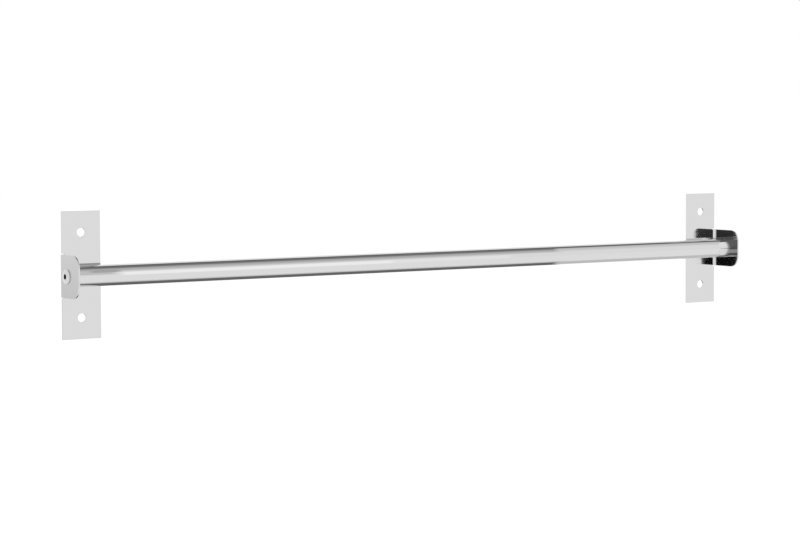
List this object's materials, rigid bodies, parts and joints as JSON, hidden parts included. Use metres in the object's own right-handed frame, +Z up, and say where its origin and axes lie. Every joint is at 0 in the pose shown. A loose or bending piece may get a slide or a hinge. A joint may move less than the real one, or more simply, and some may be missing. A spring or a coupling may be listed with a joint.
{
  "type": "clothes rail",
  "caption": "Wall-mounted chromed clothes rail: a round tube held between two folded-tab wall brackets by low-headed end screws.",
  "frame": {"origin": "middle of the four wall holes, on the wall plane: midway between the brackets at the height of the tube's axis", "axes": "+X along the rail, +Z up, +Y into the wall; the object stands out towards -Y"},
  "size_m": [1.0058, 0.05, 0.15],
  "materials": {
    "bracket_chrome": "bright chromium plate on folded steel sheet",
    "tube_chrome": "bright chromium plate on welded steel tube",
    "screw_chrome": "bright chromium plate on turned steel",
    "plug_nylon": "moulded black nylon",
    "nut_zinc": "bright zinc plate"
  },
  "bodies": {
    "root": {"left_bracket": "bracket_chrome", "right_bracket": "bracket_chrome", "rail_tube": "tube_chrome", "left_end_plug": "plug_nylon", "right_end_plug": "plug_nylon", "left_captive_nut": "nut_zinc", "right_captive_nut": "nut_zinc", "left_end_screw": "screw_chrome", "right_end_screw": "screw_chrome"}
  },
  "joints": []
}
